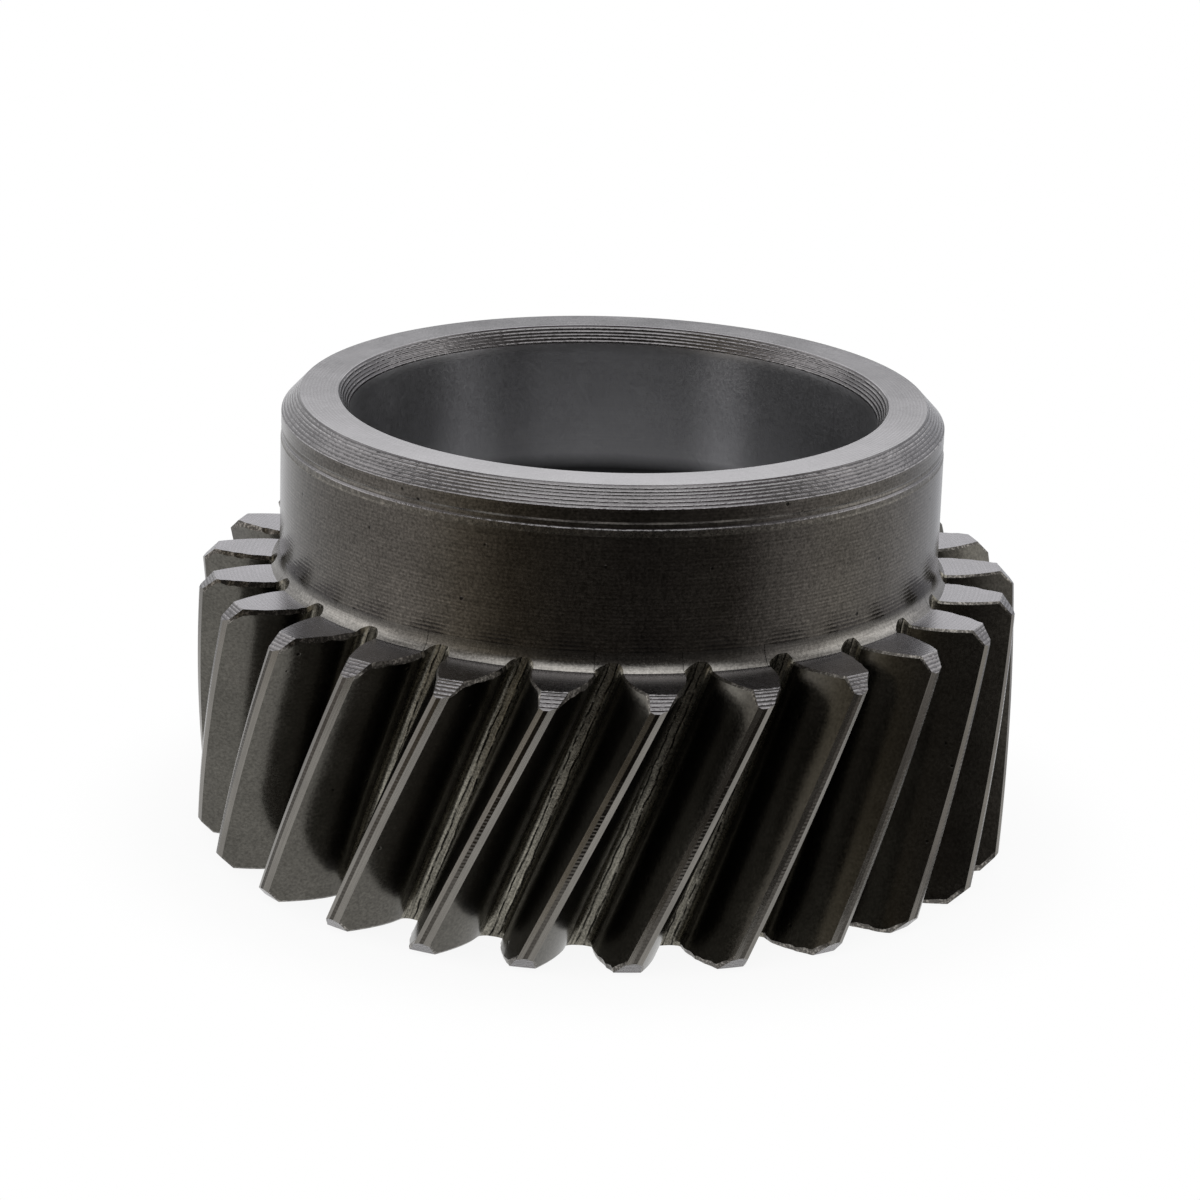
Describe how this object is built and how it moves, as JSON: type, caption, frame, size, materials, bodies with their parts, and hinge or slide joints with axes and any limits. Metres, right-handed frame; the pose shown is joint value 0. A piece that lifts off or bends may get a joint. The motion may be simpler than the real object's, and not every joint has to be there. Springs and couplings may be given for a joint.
{
  "type": "gear",
  "caption": "Right-hand helical gear in dark oiled steel, with a smooth through bore for a press fit and a plain cylindrical hub on one side.",
  "frame": {"origin": "centre of the bore in the plane of the tooth end face that the gear stands on, away from the hub", "axes": "+Z along the bore's axis, towards the hub; +X through the middle of one tooth at z = 0"},
  "size_m": [0.0752, 0.0752, 0.0415],
  "materials": {
    "steel": "dark hardened steel under a thin film of oil: fine-turned faces and hub, smooth flanks, honed bore"
  },
  "bodies": {
    "root": {"gear": "steel"}
  },
  "joints": []
}
